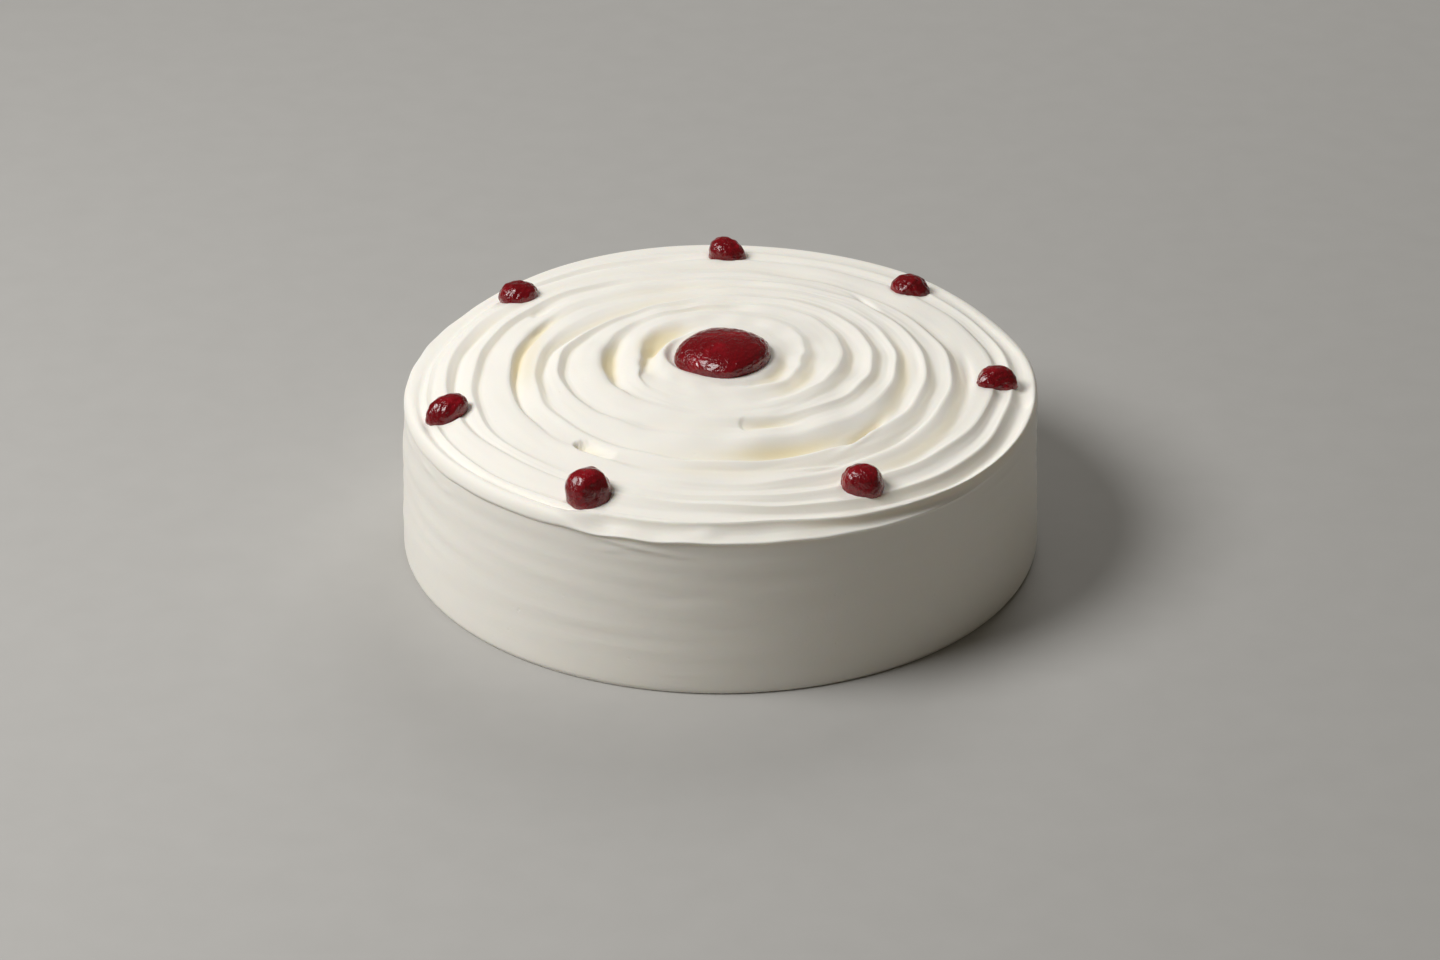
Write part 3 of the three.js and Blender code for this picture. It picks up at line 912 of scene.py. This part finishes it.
class CakeColours(bpy.types.PropertyGroup):
    """Colours of the cake."""

    cream: FloatVectorProperty(name="Cream", description="Colour of the cream on the ridges",
                               subtype="COLOR", default=(0.94, 0.905, 0.83), min=0, max=1)
    # The hollow colour is painted shade: a darker yellow for the cream deep in the strokes and hollows
    hollow: FloatVectorProperty(name="Hollow", description="Colour of the cream deep in the strokes",
                                subtype="COLOR", default=(0.84, 0.74, 0.5), min=0, max=1)
    jelly: FloatVectorProperty(name="Jelly", description="Colour of the thick jelly", subtype="COLOR",
                               default=(0.17, 0.001, 0.005), min=0, max=1)
    jelly_thin: FloatVectorProperty(name="Thin jelly", description="Colour of the jelly where it is thin",
                                    subtype="COLOR", default=(0.28, 0.003, 0.01), min=0, max=1)


class CakeStudio(bpy.types.PropertyGroup):
    """Sizes of the studio."""

    distance: FloatProperty(name="Camera distance", description="From the camera to the cake", default=1.5,
                            subtype="DISTANCE", unit="LENGTH")
    elevation: FloatProperty(name="Camera elevation", description="How steeply the camera looks down",
                             default=math.radians(28.58), subtype="ANGLE", unit="ROTATION")
    lens: FloatProperty(name="Lens", description="Focal length in millimetres on a 36 mm sensor",
                        default=98.3)
    key: FloatProperty(name="Key light", description="Power of the soft light at the left", default=23.2,
                       subtype="POWER", unit="POWER")


class CAKE_OT_cream(bpy.types.Operator):
    """Makes the cream covered cake with its swirled top"""

    bl_idname = "rose_cake.cream"
    bl_label = "Cream Cake"

    def execute(self, context):
        colours = context.scene.cake_colours
        material = cream_finish(colours.cream, colours.hollow)
        points, faces, tint, middle = cake_surface()
        cake = make_piece("cake_cream", points, faces, material, ["cake"])
        # The deep attribute holds each vertex's tint of yellow painted shade and patches
        layer = cake.data.attributes.new("deep", "FLOAT", "POINT")
        layer.data.foreach_set("value", tint.astype(np.float32))
        context.scene["cake_middle"] = [float(middle[0]), float(middle[1])]
        return {"FINISHED"}


class CAKE_OT_jelly(bpy.types.Operator):
    """Makes the large jelly drop and the seven small ones"""

    bl_idname = "rose_cake.jelly"
    bl_label = "Jelly Drops"

    def execute(self, context):
        colours = context.scene.cake_colours
        shift = np.array([*context.scene["cake_middle"], 0])
        material = jelly_finish("jelly", colours.jelly, colours.jelly_thin)
        points, faces = drop_surface(CENTRE_DROP, SEAT_DEPTH, CENTRE_MESH, CENTRE_GRAIN, SEED)
        make_piece("centre_drop", points - shift, faces, material, ["jelly_centre"])
        for number, (node, size) in enumerate(DROPS.items()):
            points, faces = drop_surface(size, DROP_SINK, DROP_MESH, DROP_GRAIN, SEED + number)
            make_piece(node.replace("jelly", "drop"), points - shift, faces, material, [node])
        return {"FINISHED"}


class CAKE_OT_studio(bpy.types.Operator):
    """Makes the pale floor, the soft lights and the camera"""

    bl_idname = "rose_cake.studio"
    bl_label = "Studio"

    def execute(self, context):
        studio = context.scene.cake_studio
        make_floor()
        make_lights(studio.key)
        make_camera(studio.elevation, studio.distance, studio.lens)
        context.scene.view_settings.view_transform = "Standard"
        return {"FINISHED"}


def make_floor():
    """A plain pale sheet that runs level under the cake and curves up far behind it as a parabola."""
    across = np.linspace(-FLOOR_HALF, FLOOR_HALF, 24)
    grid_x, grid_y = np.meshgrid(across, np.linspace(FLOOR_FRONT, FLOOR_BACK, 80))
    grid_z = FLOOR_CURVE * np.maximum(grid_y - FLOOR_BEND, 0) ** 2
    points = np.stack([grid_x, grid_y, grid_z], -1).reshape(-1, 3)
    ids = np.arange(grid_x.size).reshape(grid_x.shape)
    faces = np.stack([ids[:-1, :-1], ids[:-1, 1:], ids[1:, 1:], ids[1:, :-1]], -1).reshape(-1, 4)
    mesh = bpy.data.meshes.new("floor")
    mesh.from_pydata(points.tolist(), [], faces.tolist())
    mesh.shade_smooth()
    finish = Finish("floor")
    grain = finish.noise(finish.add("ShaderNodeTexCoord", {}, {}, "Object"), FLOOR_GRAIN, detail=3)
    finish.feed(Base_Color=finish.blend(grain, *FLOOR_COLOURS), Roughness=0.7)
    mesh.materials.append(finish.material)
    floor = bpy.data.objects.new("floor", mesh)
    bpy.context.scene.collection.objects.link(floor)


def make_lights(power):
    """A large soft key light high at the left, a weak one behind at the right, and a dim even surround."""
    for name, (azimuth, elevation, distance, size, share) in LIGHTS.items():
        data = bpy.data.lights.new(name, "AREA")
        data.shape = "DISK"
        data.size = size
        data.energy = power * share
        light = bpy.data.objects.new(name, data)
        a, e = math.radians(azimuth), math.radians(elevation)
        towards = Vector((math.cos(a) * math.cos(e), math.sin(a) * math.cos(e), math.sin(e)))
        light.location = towards * distance + Vector(LIGHT_AIM)
        light.rotation_euler = towards.to_track_quat("Z", "Y").to_euler()
        light.visible_glossy = name == "key"
        bpy.context.scene.collection.objects.link(light)
    world = bpy.data.worlds.new("surround")
    world.use_nodes = True
    background = next(n for n in world.node_tree.nodes if n.type == "BACKGROUND")
    background.inputs["Color"].default_value = SURROUND
    background.inputs["Strength"].default_value = SURROUND_STRENGTH
    bpy.context.scene.world = world


def make_camera(elevation, distance, lens):
    """The camera in front of the cake, aimed at a point in its middle."""
    back = Vector((0, -math.cos(elevation), math.sin(elevation)))
    data = bpy.data.cameras.new("camera")
    data.lens = lens
    data.sensor_width = 36
    data.clip_start = 0.05
    data.clip_end = 50
    camera = bpy.data.objects.new("camera", data)
    camera.location = Vector(CAMERA_AIM) + back * distance
    camera.rotation_euler = (-back).to_track_quat("-Z", "Y").to_euler()
    bpy.context.scene.collection.objects.link(camera)
    bpy.context.scene.camera = camera


class CAKE_PT_panel(bpy.types.Panel):
    """Lists the steps that make the cake and its studio"""

    bl_idname = "CAKE_PT_panel"
    bl_label = "Rose Cake"
    bl_space_type = "VIEW_3D"
    bl_region_type = "UI"
    bl_category = "Rose Cake"

    def draw(self, context):
        layout = self.layout
        for group in (context.scene.cake_colours, context.scene.cake_studio):
            for key in group.__annotations__:
                layout.prop(group, key)
        for step in STEPS:
            layout.operator(step.bl_idname)


STEPS = (CAKE_OT_cream, CAKE_OT_jelly, CAKE_OT_studio)
CLASSES = (CakeColours, CakeStudio, *STEPS, CAKE_PT_panel)


def register():
    for cls in CLASSES:
        bpy.utils.register_class(cls)
    bpy.types.Scene.cake_colours = PointerProperty(type=CakeColours)
    bpy.types.Scene.cake_studio = PointerProperty(type=CakeStudio)


def unregister():
    del bpy.types.Scene.cake_studio
    del bpy.types.Scene.cake_colours
    for cls in reversed(CLASSES):
        bpy.utils.unregister_class(cls)


def main():
    """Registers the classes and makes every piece."""
    register()
    bpy.ops.rose_cake.cream()
    bpy.ops.rose_cake.jelly()
    bpy.ops.rose_cake.studio()


if __name__ == "__main__":
    main()
